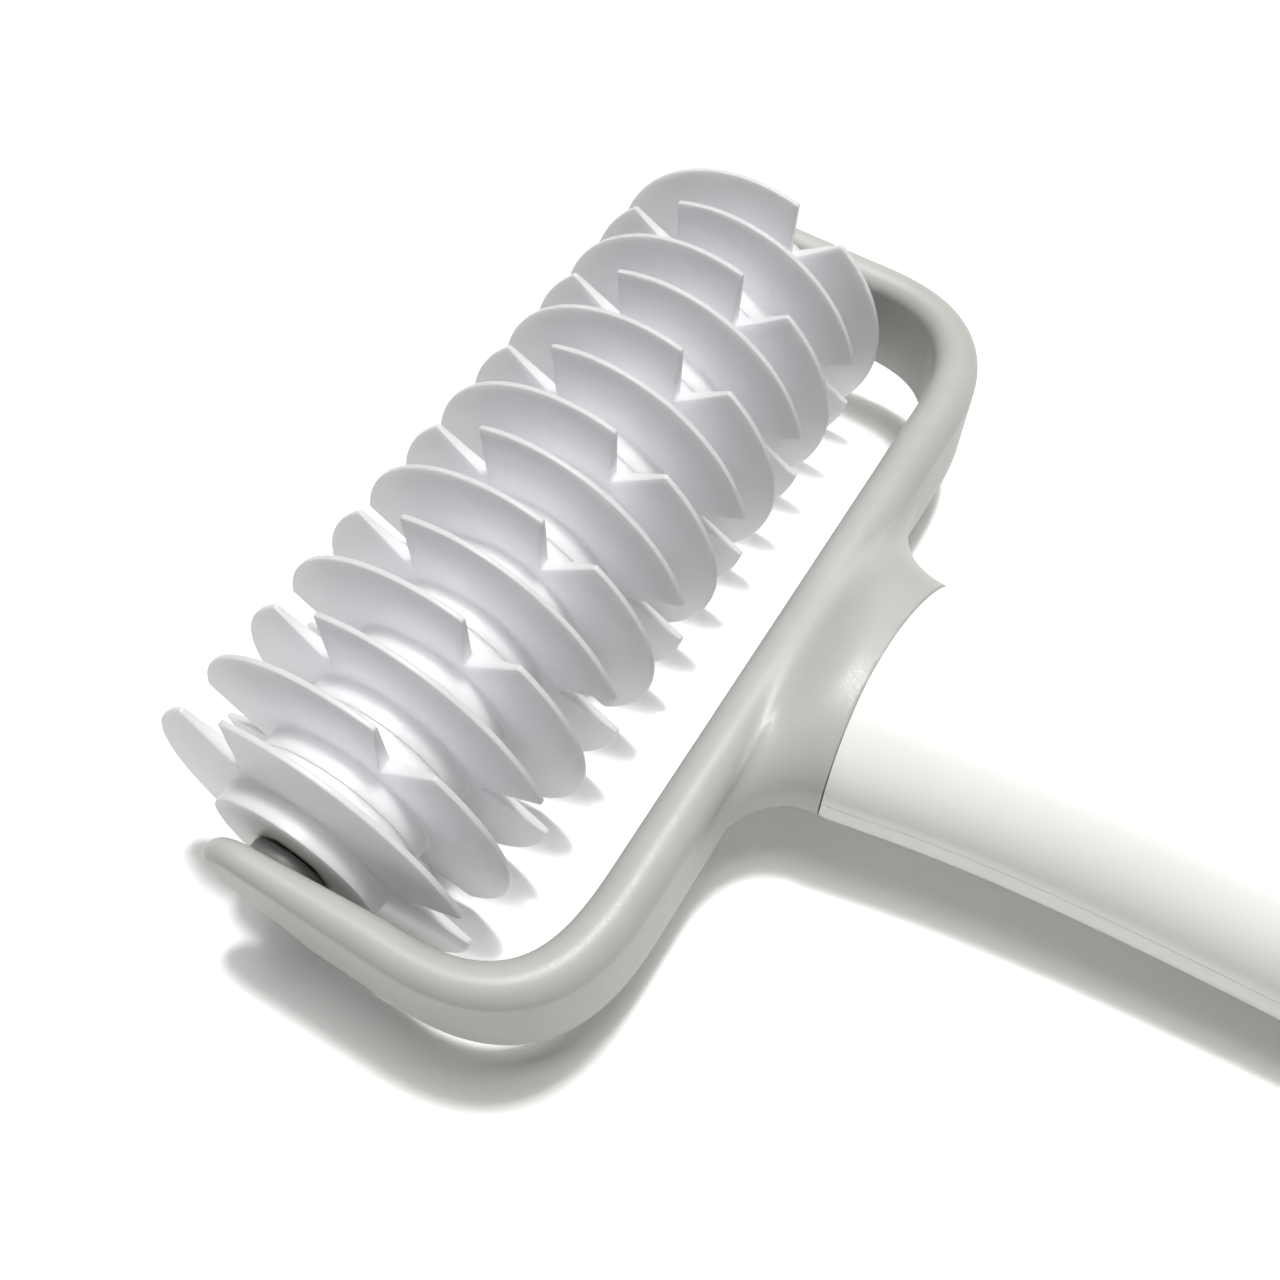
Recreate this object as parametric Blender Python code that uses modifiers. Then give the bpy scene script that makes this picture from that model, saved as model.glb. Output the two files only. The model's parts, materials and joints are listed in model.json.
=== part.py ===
"""Lattice roller for pasta and pastry: notched cutting discs that turn in a U-shaped hand frame.

Metres, +Z up, in the pose in which the tool lies on a table: the rims of the discs and the underside of
the handle's end touch z = 0. The tool's own axes have X along the roller, Y from the roller to the end of
the handle, Z up through the tool, and their origin in the middle of the roller's axis. One empty holds
those axes and tilts them into the resting pose.
"""
import math

import bmesh
import bpy
import numpy as np

MM = 0.001

# Gap between pieces that seat on or in each other
SEAT_GAP = 0.3 * MM

# Cutting discs, each a thin notched web on its own length of hub
DISC_COUNT = 14
DISC_PITCH = 8.0 * MM
DISC_RADIUS = 22.5 * MM
RIM_THICKNESS = 0.7 * MM
ROOT_THICKNESS = 2.2 * MM
HUB_RADIUS = 11.5 * MM
HUB_FILLET = 0.9 * MM
NOTCH_COUNT = 3
NOTCH_WIDTH = 8.2 * MM
NOTCH_DEPTH = 9.1 * MM
NOTCH_REST_ANGLE = math.radians(0.9)
DISC_FACETS = 36

# Hexagonal core tube, the bushes in its ends and the frame's stub pins in the bushes
PIN_RADIUS = 1.8 * MM
PIN_LENGTH = 10.0 * MM
PIN_CHAMFER = 0.5 * MM
BUSH_WALL = 0.9 * MM
BUSH_LENGTH = 12.0 * MM
CORE_WALL = 0.8 * MM
ROUND_FACETS = 24

# U-shaped frame band, measured from the roller's axis
BAND_TOP = 8.5 * MM
BAND_BOTTOM = 8.0 * MM
BOSS_RADIUS = 5.1 * MM
BOSS_HEIGHT = 2.15 * MM
ARM_THICKNESS = 3.65 * MM
ARM_TAPER = 0.078
TIP_REACH = 8.3 * MM
TIP_ROUNDING = 6.4 * MM
TIP_NOSE = 1.2 * MM
TIP_BOTTOM = 4.2 * MM
TIP_ANGLES = (84, 72, 58, 42, 22, 0)
FOOT_SWEEP_START = 6.5 * MM
FOOT_SWEEP_LENGTH = 7.5 * MM
SWEEP_STEPS = 5
BAR_CLEARANCE = 10.8 * MM
BAR_THICKNESS = 6.6 * MM
CORNER_EXTENT = 24.0 * MM
CORNER_FULLNESS = 2.5
CROWN_LIMIT = 0.45
CROWN_STEPS = 8
CORNER_STEPS = 8

# Neck between the band and the handle
NECK_LENGTH = 9.7 * MM
NECK_HALF_WIDTH = 17.0 * MM
NECK_TOP = 11.5 * MM
NECK_BOTTOM = 11.5 * MM
NECK_FLARE = 12.4 * MM
NECK_VALLEY = 7.5 * MM
NECK_ROOT_BOTTOM = 7.6 * MM
SEAM_BULGE = 1.8 * MM
NECK_STEPS = 9

# Tang that the neck sends into the handle
TANG_WIDTH = 14.0 * MM
TANG_THICKNESS = 8.0 * MM
TANG_MARGIN = 18.0 * MM

# Handle of two shells, parted at the height of the roller's axis
HANDLE_LENGTH = 134.4 * MM
GRIP_HALF_WIDTH = 10.7 * MM
GRIP_HALF_HEIGHT = 10.6 * MM
TAPER_LENGTH = 27.0 * MM
END_SWELL = 1.6 * MM
END_SWELL_REACH = 22.0 * MM
END_ROUNDING = 13.0 * MM
END_ANGLES = (20, 38, 54, 68, 80, 90)
GRIP_STEPS = 13
FRONT_LAND = 1.0 * MM
SHELL_WALL = 2.2 * MM
UPPER_LAND = 0.6 * MM
LOWER_BAND = 1.6 * MM
UPPER_FULLNESS = 2.2
LOWER_FULLNESS = 2.2
SECTION_STEPS = 12

# Pegs of the upper shell that pass through the tang into sockets of the lower shell
PEG_PLACES = (30.0 * MM, 82.0 * MM)
PEG_RADIUS = 2.0 * MM
COLLAR_WALL = 1.9 * MM
SOCKET_FLOOR = 0.6 * MM

# Sizes that follow from those above
HALF_GAP = SEAT_GAP / 2
HEX_FLAT = math.cos(math.pi / 6)
BUSH_BORE = PIN_RADIUS + SEAT_GAP
BUSH_RADIUS = BUSH_BORE + BUSH_WALL
CORE_BORE = BUSH_RADIUS + SEAT_GAP
CORE_CORNER = (CORE_BORE + CORE_WALL) / HEX_FLAT
DISC_BORE_CORNER = CORE_CORNER + SEAT_GAP / HEX_FLAT
ROLLER_END = DISC_COUNT * DISC_PITCH / 2 - HALF_GAP
BOSS_FACE = ROLLER_END + SEAT_GAP
ARM_INNER = BOSS_FACE + BOSS_HEIGHT
ARM_OUTER = ARM_INNER + ARM_THICKNESS
BAR_INNER = DISC_RADIUS + BAR_CLEARANCE
BAR_OUTER = BAR_INNER + BAR_THICKNESS
CORNER_START = BAR_OUTER - CORNER_EXTENT
NECK_ROOT = BAR_OUTER - BAR_THICKNESS / 3
SEAM_PLACE = BAR_OUTER + NECK_LENGTH
HANDLE_END = SEAM_PLACE + HANDLE_LENGTH
PEG_HOLE_RADIUS = PEG_RADIUS + SEAT_GAP
COLLAR_RADIUS = PEG_HOLE_RADIUS + COLLAR_WALL

COLOURS = {
    "white_polypropylene": (0.83, 0.82, 0.83),
    "grey_abs": (0.42, 0.42, 0.40),
    "white_abs": (0.85, 0.84, 0.82),
    "natural_nylon": (0.72, 0.70, 0.64),
    "black_acetal": (0.05, 0.05, 0.05),
}


def clear_scene():
    """Remove every object that the scene holds."""
    for item in list(bpy.data.objects):
        bpy.data.objects.remove(item, do_unlink=True)


def new_collection(name):
    """Return a new collection linked to the scene."""
    collection = bpy.data.collections.new(name)
    bpy.context.scene.collection.children.link(collection)
    return collection


def new_material(name, roughness):
    """Return a Principled material in one of the named colours."""
    material = bpy.data.materials.new(name)
    material.use_nodes = True
    shader = material.node_tree.nodes["Principled BSDF"]
    shader.inputs["Base Color"].default_value = (*COLOURS[name], 1.0)
    shader.inputs["Roughness"].default_value = roughness
    shader.inputs["Metallic"].default_value = 0.0
    return material


def new_object(name, mesh, collection, parent=None, material=None):
    """Link a mesh object, smooth but for its real edges, under its parent."""
    item = bpy.data.objects.new(name, mesh)
    collection.objects.link(item)
    item.parent = parent
    if material is not None and not mesh.materials:
        mesh.materials.append(material)
    mesh.shade_smooth()
    mesh.set_sharp_from_angle(angle=math.radians(35))
    return item


def new_cutter(name, mesh, parent=None):
    """Link a mesh object that only shapes others."""
    item = new_object(name, mesh, CUTTERS, parent)
    item.hide_render = True
    item.display_type = "WIRE"
    return item


def realised(item):
    """Return an object's mesh with its modifiers applied, and remove the object."""
    bpy.context.view_layer.update()
    evaluated = item.evaluated_get(bpy.context.evaluated_depsgraph_get())
    mesh = bpy.data.meshes.new_from_object(evaluated)
    mesh.name = item.name
    bpy.data.objects.remove(item, do_unlink=True)
    work = bmesh.new()
    work.from_mesh(mesh)
    bmesh.ops.remove_doubles(work, verts=work.verts, dist=0.001 * MM)
    work.to_mesh(mesh)
    work.free()
    return mesh


def combine(item, other, operation):
    """Add a Boolean with another object to an object."""
    boolean = item.modifiers.new(other.name, "BOOLEAN")
    boolean.operation = operation
    boolean.solver = "EXACT"
    boolean.object = other


def turned_mesh(name, profile, facets):
    """Turn a profile of (radius, height) points about Z; it runs down the outer side."""
    mesh = bpy.data.meshes.new(name)
    edges = [(i, i + 1) for i in range(len(profile) - 1)]
    if profile[0][0] > 0:
        edges.append((len(profile) - 1, 0))
    mesh.from_pydata([(radius, 0.0, height) for radius, height in profile], edges, [])
    item = bpy.data.objects.new(name, mesh)
    CUTTERS.objects.link(item)
    screw = item.modifiers.new("turn", "SCREW")
    screw.axis = "Z"
    screw.angle = 2 * math.pi
    screw.steps = facets
    screw.render_steps = facets
    screw.use_merge_vertices = True
    screw.merge_threshold = 0.001 * MM
    return realised(item)


def prism_mesh(name, sides, corner_radius, length):
    """Return a regular prism along Z, centred on the origin, with its first corner at +X."""
    work = bmesh.new()
    bmesh.ops.create_cone(
        work, cap_ends=True, segments=sides, radius1=corner_radius, radius2=corner_radius, depth=length
    )
    first = min(math.atan2(v.co.y, v.co.x) % (2 * math.pi / sides) for v in work.verts)
    turn = np.array([[math.cos(-first), -math.sin(-first)], [math.sin(-first), math.cos(-first)]])
    for vertex in work.verts:
        vertex.co.x, vertex.co.y = turn @ np.array([vertex.co.x, vertex.co.y])
    mesh = bpy.data.meshes.new(name)
    work.to_mesh(mesh)
    work.free()
    return mesh


def box_mesh(name, low, high):
    """Return a box between two corners."""
    work = bmesh.new()
    bmesh.ops.create_cube(work, size=1.0)
    for vertex in work.verts:
        vertex.co = [low[k] + (vertex.co[k] + 0.5) * (high[k] - low[k]) for k in range(3)]
    mesh = bpy.data.meshes.new(name)
    work.to_mesh(mesh)
    work.free()
    return mesh


def outline_mesh(name, outline, length):
    """Return a flat outline in XY, extruded along Z to both sides of the origin."""
    curve = bpy.data.curves.new(name, "CURVE")
    curve.dimensions = "2D"
    curve.fill_mode = "BOTH"
    curve.extrude = length / 2
    spline = curve.splines.new("POLY")
    spline.points.add(len(outline) - 1)
    for point, (x, y) in zip(spline.points, outline):
        point.co = (x, y, 0.0, 1.0)
    spline.use_cyclic_u = True
    item = bpy.data.objects.new(name, curve)
    CUTTERS.objects.link(item)
    return realised(item)


def loft_mesh(name, rings, cap_start, cap_end, closed=True):
    """Skin rings of points; a capped end is closed by strips across the ring."""
    count = len(rings[0])
    points = [tuple(point) for ring in rings for point in ring]
    faces = []
    for row in range(len(rings) - 1):
        for i in range(count if closed else count - 1):
            j = (i + 1) % count
            faces.append((row * count + i, row * count + j, (row + 1) * count + j, (row + 1) * count + i))
    for capped, row in ((cap_start, 0), (cap_end, len(rings) - 1)):
        if capped:
            base = row * count
            for i in range(count // 2 - 1):
                strip = (base + i, base + i + 1, base + count - 2 - i, base + count - 1 - i)
                faces.append(strip if row == 0 else strip[::-1])
    mesh = bpy.data.meshes.new(name)
    mesh.from_pydata(points, [], faces)
    work = bmesh.new()
    work.from_mesh(mesh)
    bmesh.ops.remove_doubles(work, verts=work.verts, dist=0.001 * MM)
    bmesh.ops.recalc_face_normals(work, faces=work.faces)
    work.to_mesh(mesh)
    work.free()
    return mesh


def smooth_step(value):
    """Return 0 below 0, 1 above 1 and an even S between them."""
    value = min(1.0, max(0.0, value))
    return value * value * (3 - 2 * value)


def disc_mesh():
    """Return one disc with its hub along Z, its hexagonal bore and its notches."""
    hub_half = (DISC_PITCH - SEAT_GAP) / 2
    root_radius = HUB_RADIUS + HUB_FILLET
    root_half = ROOT_THICKNESS / 2
    foot_half = root_half + HUB_FILLET
    inner_bend = HUB_FILLET * (1 - math.sqrt(0.5))
    upper_side = [
        (0.0, hub_half),
        (HUB_RADIUS, hub_half),
        (HUB_RADIUS, foot_half),
        (HUB_RADIUS + inner_bend, root_half + inner_bend),
        (root_radius, root_half),
        (DISC_RADIUS, RIM_THICKNESS / 2),
    ]
    profile = upper_side + [(radius, -height) for radius, height in reversed(upper_side)]
    disc = new_cutter("disc_form", turned_mesh("disc_form", profile, DISC_FACETS))
    reach = 2 * DISC_PITCH
    bore = new_cutter("disc_bore", prism_mesh("disc_bore", 6, DISC_BORE_CORNER, reach))
    combine(disc, bore, "DIFFERENCE")
    apex = DISC_RADIUS - NOTCH_DEPTH
    rim_depth = math.sqrt(DISC_RADIUS**2 - (NOTCH_WIDTH / 2) ** 2) - apex
    far = 2 * NOTCH_DEPTH
    far_half = far * (NOTCH_WIDTH / 2) / rim_depth
    outline = [(apex, 0.0), (apex + far, -far_half), (apex + far, far_half)]
    cutters = [bore]
    for k in range(NOTCH_COUNT):
        name = f"notch_{k + 1}"
        notch = new_cutter(name, outline_mesh(name, outline, reach))
        notch.rotation_euler.z = NOTCH_REST_ANGLE + math.pi / 2 - FACET_TURN + k * 2 * math.pi / NOTCH_COUNT
        combine(disc, notch, "DIFFERENCE")
        cutters.append(notch)
    mesh = realised(disc)
    for cutter in cutters:
        bpy.data.objects.remove(cutter, do_unlink=True)
    return mesh


def lay_along_roller(item, place, turn):
    """Turn an object about its own Z, then lay that axis along the roller at a place on it."""
    item.rotation_mode = "ZYX"
    item.rotation_euler = (0.0, math.pi / 2, turn)
    item.location.x = place


def add_roller(axis):
    """Add the discs, the core tube and the two bushes, all centred on the roller's axis."""
    shape = disc_mesh()
    half_step = math.pi / NOTCH_COUNT
    for k in range(DISC_COUNT):
        disc = new_object(f"cutter_disc_{k + 1:02d}", shape, PARTS, axis, MATERIALS["white_polypropylene"])
        lay_along_roller(disc, ((DISC_COUNT - 1) / 2 - k) * DISC_PITCH, FACET_TURN + (k % 2) * half_step)
    core = new_object(
        "roller_core",
        prism_mesh("roller_core", 6, CORE_CORNER, 2 * ROLLER_END),
        PARTS,
        axis,
        MATERIALS["natural_nylon"],
    )
    lay_along_roller(core, 0.0, FACET_TURN)
    bore = new_cutter("core_bore", prism_mesh("core_bore", ROUND_FACETS, CORE_BORE, 4 * ROLLER_END), axis)
    lay_along_roller(bore, 0.0, FACET_TURN)
    combine(core, bore, "DIFFERENCE")
    bush_end = ROLLER_END - BUSH_LENGTH
    profile = [(BUSH_BORE, ROLLER_END), (BUSH_RADIUS, ROLLER_END), (BUSH_RADIUS, bush_end), (BUSH_BORE, bush_end)]
    bush_shape = turned_mesh("pivot_bush", profile, ROUND_FACETS)
    for name, facing in (("pivot_bush_near", math.pi / 2), ("pivot_bush_far", -math.pi / 2)):
        bush = new_object(name, bush_shape, PARTS, axis, MATERIALS["black_acetal"])
        bush.rotation_euler.y = facing


def band_ring(outer, normal, thickness, top, bottom):
    """Return the band's section: flat foot, upright sides and a half-round crown."""
    half = thickness / 2
    centre = outer - normal * half
    crown = min(half, (top - bottom) * CROWN_LIMIT)
    ring = [(*(centre - normal * half), bottom), (*(centre + normal * half), bottom)]
    for step in range(CROWN_STEPS + 1):
        angle = math.pi * step / CROWN_STEPS
        x, y = centre + normal * half * math.cos(angle)
        ring.append((x, y, top - crown + crown * math.sin(angle)))
    return ring


def arm_ring(y, shrink=1.0):
    """Return the arm's section at y; near the tip its foot sweeps up and its height shrinks to the nose."""
    sweep = smooth_step((FOOT_SWEEP_START - y) / FOOT_SWEEP_LENGTH)
    foot = BAND_BOTTOM + (TIP_BOTTOM - BAND_BOTTOM) * sweep
    top = TIP_NOSE + (BAND_TOP - TIP_NOSE) * shrink
    bottom = TIP_NOSE - (foot + TIP_NOSE) * shrink
    thickness = ARM_THICKNESS + ARM_TAPER * y
    return band_ring(np.array([ARM_OUTER, y]), np.array([1.0, 0.0]), thickness, top, bottom)


def band_mesh():
    """Return the +X half of the band, from the tip of its arm to the middle of the crossbar."""
    rings = []
    for angle in np.radians(TIP_ANGLES):
        rings.append(arm_ring(TIP_ROUNDING * (1 - math.sin(angle)) - TIP_REACH, math.cos(angle)))
    for y in np.linspace(TIP_ROUNDING - TIP_REACH, FOOT_SWEEP_START, SWEEP_STEPS)[1:]:
        rings.append(arm_ring(y))
    for share in (0.5, 1.0):
        rings.append(arm_ring(FOOT_SWEEP_START + (CORNER_START - FOOT_SWEEP_START) * share))
    root = ARM_THICKNESS + ARM_TAPER * CORNER_START
    corner = np.array([ARM_OUTER - CORNER_EXTENT, CORNER_START])
    for step in range(1, CORNER_STEPS + 1):
        angle = math.pi / 2 * step / CORNER_STEPS
        direction = np.clip(np.array([math.cos(angle), math.sin(angle)]), 0.0, 1.0)
        outer = corner + CORNER_EXTENT * direction ** (2 / CORNER_FULLNESS)
        normal = direction ** (2 - 2 / CORNER_FULLNESS)
        normal /= np.linalg.norm(normal)
        thickness = root + (BAR_THICKNESS - root) * smooth_step(step / CORNER_STEPS)
        rings.append(band_ring(outer, normal, thickness, BAND_TOP, -BAND_BOTTOM))
    front = np.array([0.0, 1.0])
    for share in (0.5, 0.0):
        outer = np.array([(ARM_OUTER - CORNER_EXTENT) * share, BAR_OUTER])
        rings.append(band_ring(outer, front, BAR_THICKNESS, BAND_TOP, -BAND_BOTTOM))
    return closed_tip(loft_mesh("frame", rings, False, False))


def closed_tip(mesh):
    """Close the small end face at the arm's tip, and return the mesh."""
    work = bmesh.new()
    work.from_mesh(mesh)
    tip = min(vertex.co.y for vertex in work.verts)
    edge = [e for e in work.edges if e.is_boundary and all(v.co.y < tip + 0.01 * MM for v in e.verts)]
    bmesh.ops.contextual_create(work, geom=edge)
    bmesh.ops.recalc_face_normals(work, faces=work.faces)
    work.to_mesh(mesh)
    work.free()
    return mesh


def half_section(half_width, height, straight, fullness):
    """Return (x, z) points from +X over the top to -X: a straight side, then a superellipse."""
    angles = np.linspace(0.0, math.pi, SECTION_STEPS + 1)
    x = half_width * np.cos(angles)
    arch = np.clip(1 - np.abs(np.cos(angles)) ** fullness, 0.0, 1.0) ** (1 / fullness)
    return x, straight + (height - straight) * arch


def seam_offset(x, half_width):
    """Return how far the seam stands towards the roller: an arc, full in the middle."""
    return SEAM_BULGE * (1 - np.clip(np.abs(x) / half_width, 0.0, 1.0) ** 2)


def neck_mesh():
    """Return the neck: sections that narrow from the crossbar and rise to the handle's seam."""
    end = SEAM_PLACE - HALF_GAP
    rings = []
    for y in (NECK_ROOT, *np.linspace(BAR_OUTER, end, NECK_STEPS)):
        share = smooth_step((y - BAR_OUTER) / (end - BAR_OUTER))
        reach = min(1.0, max(0.0, (end - y) / (end - BAR_OUTER)))
        half_width = NECK_HALF_WIDTH + NECK_FLARE * (1 - math.sqrt(1 - reach**2))
        top = NECK_VALLEY + (NECK_TOP - NECK_VALLEY) * share
        bottom = NECK_ROOT_BOTTOM + (NECK_BOTTOM - NECK_ROOT_BOTTOM) * share
        x, upper = half_section(half_width, top, UPPER_LAND, UPPER_FULLNESS)
        x, lower = half_section(half_width, bottom, LOWER_BAND, LOWER_FULLNESS)
        y_points = y - seam_offset(x, half_width) * share
        ring = list(zip(x, y_points, upper)) + list(zip(x[::-1], y_points[::-1], -lower[::-1]))
        rings.append(ring)
    return loft_mesh("neck_form", rings, True, True)


def add_frame(tool_axes):
    """Add the frame: band, bosses, stub pins, neck and tang in one moulding."""
    frame = new_object("frame", band_mesh(), PARTS, tool_axes, MATERIALS["grey_abs"])
    mirror = frame.modifiers.new("mirror", "MIRROR")
    mirror.use_axis = (True, False, False)
    mirror.use_clip = True
    mirror.merge_threshold = 0.001 * MM
    boss_root = ARM_INNER + ARM_THICKNESS / 2
    pin_end = BOSS_FACE - PIN_LENGTH
    profile = [
        (0.0, boss_root),
        (BOSS_RADIUS, boss_root),
        (BOSS_RADIUS, BOSS_FACE),
        (PIN_RADIUS, BOSS_FACE),
        (PIN_RADIUS, pin_end + PIN_CHAMFER),
        (PIN_RADIUS - PIN_CHAMFER, pin_end),
        (0.0, pin_end),
    ]
    pivot_shape = turned_mesh("pivot_form", profile, ROUND_FACETS)
    for name, turn in (("pivot_near", math.pi / 2), ("pivot_far", -math.pi / 2)):
        pivot = new_cutter(name, pivot_shape, tool_axes)
        pivot.rotation_euler.y = turn
        combine(frame, pivot, "UNION")
    neck = new_cutter("neck_form", neck_mesh(), tool_axes)
    combine(frame, neck, "UNION")
    tang_low = (-TANG_WIDTH / 2, SEAM_PLACE - NECK_LENGTH / 2, -TANG_THICKNESS / 2)
    tang_high = (TANG_WIDTH / 2, SEAM_PLACE + PEG_PLACES[-1] + TANG_MARGIN, TANG_THICKNESS / 2)
    tang = new_cutter("tang_form", box_mesh("tang_form", tang_low, tang_high), tool_axes)
    combine(frame, tang, "UNION")
    for number, place in enumerate(PEG_PLACES, 1):
        name = f"peg_hole_{number}"
        hole = new_cutter(name, prism_mesh(name, ROUND_FACETS, PEG_HOLE_RADIUS, 2 * TANG_THICKNESS), tool_axes)
        hole.location.y = SEAM_PLACE + place
        combine(frame, hole, "DIFFERENCE")


def handle_size(distance):
    """Return the handle's half width and half height at a distance behind its seam."""
    run = max(0.0, distance - FRONT_LAND)
    fade = math.exp(-run / TAPER_LENGTH)
    from_swell = distance - (HANDLE_LENGTH - END_SWELL_REACH)
    swell = END_SWELL * math.exp(-((from_swell / END_SWELL_REACH) ** 2))
    half_width = GRIP_HALF_WIDTH + (NECK_HALF_WIDTH - GRIP_HALF_WIDTH) * fade + swell
    half_height = GRIP_HALF_HEIGHT + (NECK_TOP - GRIP_HALF_HEIGHT) * fade + swell / 2
    return half_width, half_height


def handle_stations():
    """Return (distance behind the seam, size factor) from the seam to the rounded end."""
    round_start = HANDLE_LENGTH - END_ROUNDING
    even = [(HALF_GAP, 1.0), (FRONT_LAND, 1.0)]
    even += [(place, 1.0) for place in np.linspace(FRONT_LAND, round_start, GRIP_STEPS + 1)[1:]]
    turns = np.radians(END_ANGLES)
    return even + [(round_start + END_ROUNDING * math.sin(a), math.cos(a)) for a in turns]


def shell_mesh(name, sign, straight, fullness):
    """Return the outer skin of one handle half, above (+1) or below (-1) the parting plane."""
    rows = []
    for distance, factor in handle_stations():
        half_width, half_height = handle_size(distance)
        x, z = half_section(half_width, half_height, straight, fullness)
        fade = 1 - smooth_step(distance / (END_ROUNDING / 2))
        y = SEAM_PLACE + distance - seam_offset(x, half_width) * fade
        x = np.concatenate(([x[0]], x, [x[-1]])) * factor
        z = np.concatenate(([0.0], z, [0.0])) * factor
        y = np.concatenate(([y[0]], y, [y[-1]]))
        rows.append(list(zip(x, y, sign * (HALF_GAP + z * (1 - HALF_GAP / half_height)))))
    if sign < 0:
        rows = [row[::-1] for row in rows]
    return loft_mesh(name, rows, False, False, closed=False)


def add_handle(tool_axes):
    """Add the two handle shells with their pegs and sockets."""
    tang_face = TANG_THICKNESS / 2 + SEAT_GAP
    halves = (
        ("handle_upper_shell", 1, UPPER_LAND, UPPER_FULLNESS),
        ("handle_lower_shell", -1, LOWER_BAND, LOWER_FULLNESS),
    )
    for name, sign, straight, fullness in halves:
        mesh = shell_mesh(name, sign, straight, fullness)
        shell = new_object(name, mesh, PARTS, tool_axes, MATERIALS["white_abs"])
        wall = shell.modifiers.new("wall", "SOLIDIFY")
        wall.thickness = SHELL_WALL
        wall.offset = -1.0
        wall.use_even_offset = True
        for number, place in enumerate(PEG_PLACES, 1):
            depth = handle_size(place)[1] - SHELL_WALL / 2
            floor = handle_size(place)[1] - SHELL_WALL - SOCKET_FLOOR
            if sign > 0:
                peg_end = -(floor - SEAT_GAP)
                profile = [
                    (0.0, depth),
                    (COLLAR_RADIUS, depth),
                    (COLLAR_RADIUS, tang_face),
                    (PEG_RADIUS, tang_face),
                    (PEG_RADIUS, peg_end),
                    (0.0, peg_end),
                ]
                form_name = f"peg_{number}"
            else:
                profile = [
                    (0.0, -floor),
                    (PEG_HOLE_RADIUS, -floor),
                    (PEG_HOLE_RADIUS, -tang_face),
                    (COLLAR_RADIUS, -tang_face),
                    (COLLAR_RADIUS, -depth),
                    (0.0, -depth),
                ]
                form_name = f"socket_{number}"
            form = new_cutter(form_name, turned_mesh(form_name, profile, ROUND_FACETS), tool_axes)
            form.location.y = SEAM_PLACE + place
            combine(shell, form, "UNION")


def resting_tilt():
    """Return the tilt at which the rims and the handle's underside both touch one plane."""
    rim = DISC_RADIUS * math.cos(math.pi / DISC_FACETS)
    tilts = []
    for distance in np.linspace(HANDLE_LENGTH / 2, HANDLE_LENGTH - END_ROUNDING, 60):
        along = SEAM_PLACE + distance
        below = handle_size(distance)[1]
        tilts.append(math.asin(rim / math.hypot(along, below)) - math.atan2(below, along))
    return min(tilts)


def tool_frame(tilt):
    """Add the empty that lays the tool down: roller and handle on z = 0, centred in plan."""
    empty = bpy.data.objects.new("resting_pose", None)
    PARTS.objects.link(empty)
    front = -DISC_RADIUS
    back = HANDLE_END * math.cos(tilt)
    empty.location = (0.0, -(front + back) / 2, DISC_RADIUS * math.cos(math.pi / DISC_FACETS))
    empty.rotation_euler.x = -tilt
    return empty


clear_scene()
PARTS = new_collection("pasta_cutter_rolling_pin")
CUTTERS = new_collection("cutters")
MATERIALS = {
    name: new_material(name, roughness)
    for name, roughness in (
        ("white_polypropylene", 0.35),
        ("grey_abs", 0.45),
        ("white_abs", 0.35),
        ("natural_nylon", 0.5),
        ("black_acetal", 0.4),
    )
}
TILT = resting_tilt()
FACET_TURN = TILT + math.pi / DISC_FACETS
TOOL_AXES = tool_frame(TILT)
ROLLER_AXIS = bpy.data.objects.new("roller_axis", None)
PARTS.objects.link(ROLLER_AXIS)
ROLLER_AXIS.parent = TOOL_AXES
add_frame(TOOL_AXES)
add_handle(TOOL_AXES)
add_roller(ROLLER_AXIS)
bpy.context.view_layer.update()
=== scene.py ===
"""Looks of the lattice pastry roller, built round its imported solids.

Every shape is worked out in the tool's own axes, in millimetres: X along the roller, Y from the roller to
the end of the handle, Z up through the tool, origin in the middle of the roller's axis. ToolAxes lays them
down in the resting pose and turns them to metres.
"""

import json
import logging
import math
from collections.abc import Iterable
from dataclasses import dataclass, field
from enum import Enum
from typing import Any

import bmesh
import bpy
import numpy as np
from mathutils import Matrix


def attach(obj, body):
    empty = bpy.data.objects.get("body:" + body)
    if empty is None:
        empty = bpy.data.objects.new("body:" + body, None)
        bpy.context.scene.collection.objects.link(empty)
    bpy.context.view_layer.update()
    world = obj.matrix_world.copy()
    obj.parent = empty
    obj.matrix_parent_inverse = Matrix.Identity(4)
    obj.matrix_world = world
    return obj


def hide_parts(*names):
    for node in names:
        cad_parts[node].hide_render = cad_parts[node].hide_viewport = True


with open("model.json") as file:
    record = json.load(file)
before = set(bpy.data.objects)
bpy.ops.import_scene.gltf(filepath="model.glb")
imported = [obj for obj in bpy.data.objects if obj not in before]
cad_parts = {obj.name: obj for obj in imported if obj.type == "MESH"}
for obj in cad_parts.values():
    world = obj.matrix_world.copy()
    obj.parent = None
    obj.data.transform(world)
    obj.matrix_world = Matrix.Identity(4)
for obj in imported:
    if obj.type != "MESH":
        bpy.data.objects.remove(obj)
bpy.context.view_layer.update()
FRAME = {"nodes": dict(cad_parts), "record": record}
LOG = logging.getLogger("pastry_roller")
Socket = bpy.types.NodeSocket

MM = 0.001
# Half the hairline between seated pieces, in millimetres
HALF_GAP = 0.03
# Keeps divisions and powers off zero
TINY = 1e-6


class Body(Enum):
    """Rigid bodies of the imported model."""

    FRAME = "frame"
    ROLLER = "roller"


class Half(Enum):
    """The two shells of the handle, with the side of the parting plane that each lies on."""

    UPPER = 1
    LOWER = -1


class End(Enum):
    """The two ends of the roller, with the side of the middle that each lies on."""

    NEAR = 1
    FAR = -1


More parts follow.
